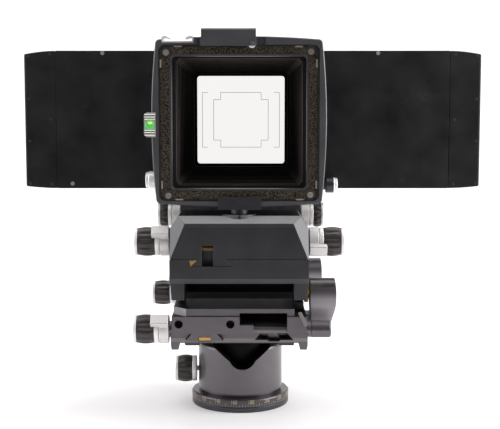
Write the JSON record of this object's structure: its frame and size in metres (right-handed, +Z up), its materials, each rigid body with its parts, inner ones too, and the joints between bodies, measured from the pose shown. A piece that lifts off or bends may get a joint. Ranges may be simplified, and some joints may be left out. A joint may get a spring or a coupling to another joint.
{
  "type": "medium format view camera",
  "caption": "View camera on a ball head: bellows between a front lens frame and a rear frame with a wide sliding back, on geared standards along a short bench.",
  "frame": {"origin": "mouth of the tripod socket in the middle of the base", "axes": "+X to the right seen from the lens side, +Y from lens to film, +Z up"},
  "size_m": [0.464, 0.22, 0.3469],
  "materials": {
    "black_anodised": "black anodised, satin",
    "grey_anodised": "dark grey anodised, satin",
    "bright_metal": "fine blasted, clear anodised",
    "steel": "turned",
    "brass": "machined",
    "grip_rubber": "matt, fluted",
    "bellows_cloth": "matt pleated",
    "seal_foam": "open foam",
    "ground_glass": "ground",
    "level_acrylic": "clear acrylic, green vial"
  },
  "bodies": {
    "base": {"base_plate": "black_anodised", "tripod_bush": "brass", "pan_scale_ring": "grey_anodised"},
    "pan_head": {"ball_housing": "grey_anodised", "clamp_shoe": "brass"},
    "ball_clamp": {"ball_clamp_knob": "bright_metal", "ball_clamp_grip": "grip_rubber"},
    "ball": {"ball": "black_anodised"},
    "rail_mount": {"rail_clamp": "black_anodised", "lower_bench": "black_anodised"},
    "bench": {"upper_bench": "grey_anodised", "bench_racks": "brass"},
    "front_carriage": {"front_carriage": "grey_anodised", "front_post_base": "black_anodised", "front_drive_housing": "grey_anodised"},
    "front_focus_drive": {"front_focus_shaft": "steel", "front_focus_knob": "bright_metal", "front_focus_grip": "grip_rubber"},
    "front_focus_lock": {"front_focus_lever": "bright_metal"},
    "front_rise_drive": {"front_rise_pinion": "brass"},
    "front_riser": {"front_riser": "black_anodised", "front_tilt_rack": "brass", "front_rise_rack": "brass"},
    "front_tilt": {"front_tilt_block": "black_anodised"},
    "front_tilt_drive": {"front_tilt_shaft": "steel", "front_tilt_knobs": "bright_metal", "front_tilt_grips": "grip_rubber"},
    "front_tilt_lock_left": {"front_tilt_lever_left": "bright_metal"},
    "front_tilt_lock_right": {"front_tilt_lever_right": "bright_metal"},
    "rear_carriage": {"rear_carriage": "grey_anodised", "rear_post_base": "black_anodised", "rear_drive_housing": "grey_anodised"},
    "rear_focus_drive": {"rear_focus_shaft": "steel", "rear_focus_knob": "bright_metal", "rear_focus_grip": "grip_rubber"},
    "rear_focus_lock": {"rear_focus_lever": "bright_metal"},
    "rear_rise_drive": {"rear_rise_pinion": "brass"},
    "rear_riser": {"rear_riser": "black_anodised", "rear_tilt_rack": "brass"},
    "rear_tilt": {"rear_tilt_block": "black_anodised"},
    "rear_tilt_drive": {"rear_tilt_shaft": "steel", "rear_tilt_knobs": "bright_metal", "rear_tilt_grips": "grip_rubber"},
    "rear_tilt_lock_left": {"rear_tilt_lever_left": "bright_metal"},
    "rear_tilt_lock_right": {"rear_tilt_lever_right": "bright_metal"},
    "front_standard": {"front_frame": "black_anodised", "foam_seal": "seal_foam", "seat_tabs": "bright_metal", "seat_screws": "bright_metal", "accessory_shoe": "bright_metal", "spirit_level": "level_acrylic", "bellows": "bellows_cloth"},
    "lens_lock": {"lens_lock": "black_anodised"},
    "rear_standard": {"rear_frame": "black_anodised", "back_panel": "black_anodised", "panel_end_caps": "black_anodised"},
    "sliding_back": {"back_carriage": "black_anodised", "ground_glass": "ground_glass"},
    "back_lock_left": {"back_lock_knob_left": "black_anodised"},
    "back_lock_right": {"back_lock_knob_right": "black_anodised"}
  },
  "joints": [
    {"name": "pan", "type": "hinge", "parent": "base", "child": "pan_head", "pos_m": [0, 0, 0.0128], "axis": [0, 0, 1], "continuous": true},
    {"name": "ball_clamp_turn", "type": "hinge", "parent": "pan_head", "child": "ball_clamp", "pos_m": [-0.05, 0, 0.0315], "axis": [1, 0, 0], "range_deg": [-180, 30]},
    {"name": "ball_tilt", "type": "hinge", "parent": "pan_head", "child": "ball", "pos_m": [0, 0, 0.052], "axis": [1, 0, 0], "range_deg": [-12, 12]},
    {"name": "stem_turn", "type": "hinge", "parent": "ball", "child": "rail_mount", "pos_m": [0, 0, 0.0685], "axis": [0, 0, 1], "continuous": true},
    {"name": "bench_extend", "type": "slide", "parent": "rail_mount", "child": "bench", "axis": [0, -1, 0], "range_m": [0, 0.06]},
    {"name": "front_focus", "type": "slide", "parent": "bench", "child": "front_carriage", "axis": [0, -1, 0], "range_m": [-0.026, 0], "deforming": ["bellows"]},
    {"name": "front_focus_turn", "type": "hinge", "parent": "front_carriage", "child": "front_focus_drive", "pos_m": [-0.08, -0.094, 0.0888], "axis": [1, 0, 0], "range_deg": [-360, 360]},
    {"name": "front_focus_lock_turn", "type": "hinge", "parent": "front_carriage", "child": "front_focus_lock", "pos_m": [-0.065, -0.094, 0.0888], "axis": [1, 0, 0], "range_deg": [-30, 30]},
    {"name": "front_rise", "type": "slide", "parent": "front_carriage", "child": "front_riser", "axis": [0, 0, 1], "range_m": [-0.004, 0.009]},
    {"name": "front_rise_turn", "type": "hinge", "parent": "front_carriage", "child": "front_rise_drive", "pos_m": [0.06, -0.065, 0.118], "axis": [1, 0, 0], "range_deg": [-180, 180]},
    {"name": "front_tilt", "type": "hinge", "parent": "front_riser", "child": "front_tilt", "pos_m": [0, -0.083, 0.2675], "axis": [1, 0, 0], "range_deg": [-11, 11]},
    {"name": "front_tilt_turn", "type": "hinge", "parent": "front_tilt", "child": "front_tilt_drive", "pos_m": [0, -0.0775, 0.16325], "axis": [1, 0, 0], "range_deg": [-360, 360]},
    {"name": "front_tilt_lock_left_turn", "type": "hinge", "parent": "front_tilt", "child": "front_tilt_lock_left", "pos_m": [-0.065, -0.0775, 0.16325], "axis": [1, 0, 0], "range_deg": [-30, 30]},
    {"name": "front_tilt_lock_right_turn", "type": "hinge", "parent": "front_tilt", "child": "front_tilt_lock_right", "pos_m": [0.065, -0.0775, 0.16325], "axis": [1, 0, 0], "range_deg": [-30, 30]},
    {"name": "front_swing", "type": "hinge", "parent": "front_tilt", "child": "front_standard", "pos_m": [0, -0.083, 0.19], "axis": [0, 0, 1], "range_deg": [-12, 12]},
    {"name": "rear_focus", "type": "slide", "parent": "bench", "child": "rear_carriage", "axis": [0, 1, 0], "range_m": [-0.026, 0]},
    {"name": "rear_focus_turn", "type": "hinge", "parent": "rear_carriage", "child": "rear_focus_drive", "pos_m": [-0.08, 0.094, 0.0888], "axis": [1, 0, 0], "range_deg": [-360, 360]},
    {"name": "rear_focus_lock_turn", "type": "hinge", "parent": "rear_carriage", "child": "rear_focus_lock", "pos_m": [-0.065, 0.094, 0.0888], "axis": [1, 0, 0], "range_deg": [-30, 30]},
    {"name": "rear_rise", "type": "slide", "parent": "rear_carriage", "child": "rear_riser", "axis": [0, 0, 1], "range_m": [-0.0125, 0]},
    {"name": "rear_rise_turn", "type": "hinge", "parent": "rear_carriage", "child": "rear_rise_drive", "pos_m": [0.06, 0.065, 0.118], "axis": [1, 0, 0], "range_deg": [-180, 180]},
    {"name": "rear_tilt", "type": "hinge", "parent": "rear_riser", "child": "rear_tilt", "pos_m": [0, 0.083, 0.2763], "axis": [1, 0, 0], "range_deg": [-11, 11]},
    {"name": "rear_tilt_turn", "type": "hinge", "parent": "rear_tilt", "child": "rear_tilt_drive", "pos_m": [0, 0.0775, 0.17205], "axis": [1, 0, 0], "range_deg": [-360, 360]},
    {"name": "rear_tilt_lock_left_turn", "type": "hinge", "parent": "rear_tilt", "child": "rear_tilt_lock_left", "pos_m": [-0.065, 0.0775, 0.17205], "axis": [1, 0, 0], "range_deg": [-30, 30]},
    {"name": "rear_tilt_lock_right_turn", "type": "hinge", "parent": "rear_tilt", "child": "rear_tilt_lock_right", "pos_m": [0.065, 0.0775, 0.17205], "axis": [1, 0, 0], "range_deg": [-30, 30]},
    {"name": "rear_swing", "type": "hinge", "parent": "rear_tilt", "child": "rear_standard", "pos_m": [0, 0.083, 0.1988], "axis": [0, 0, 1], "range_deg": [-12, 12]},
    {"name": "lens_lock_lift", "type": "slide", "parent": "front_standard", "child": "lens_lock", "axis": [0, 0, 1], "range_m": [0, 0.0045]},
    {"name": "back_slide", "type": "slide", "parent": "rear_standard", "child": "sliding_back", "axis": [1, 0, 0], "range_m": [-0.128, 0]},
    {"name": "back_lock_left_turn", "type": "hinge", "parent": "rear_standard", "child": "back_lock_left", "pos_m": [-0.0902, 0.077, 0.207], "axis": [1, 0, 0], "range_deg": [-180, 0]},
    {"name": "back_lock_right_turn", "type": "hinge", "parent": "rear_standard", "child": "back_lock_right", "pos_m": [0.0917, 0.077, 0.202], "axis": [1, 0, 0], "range_deg": [-180, 0]}
  ],
  "couplings": [
    {"joint": "front_focus_turn", "follows": "front_focus", "rad_per_m": 166.67},
    {"joint": "front_rise_turn", "follows": "front_rise", "rad_per_m": 156.25},
    {"joint": "front_tilt_turn", "follows": "front_tilt", "ratio": -30},
    {"joint": "rear_focus_turn", "follows": "rear_focus", "rad_per_m": -166.67},
    {"joint": "rear_rise_turn", "follows": "rear_rise", "rad_per_m": -156.25},
    {"joint": "rear_tilt_turn", "follows": "rear_tilt", "ratio": -30}
  ]
}
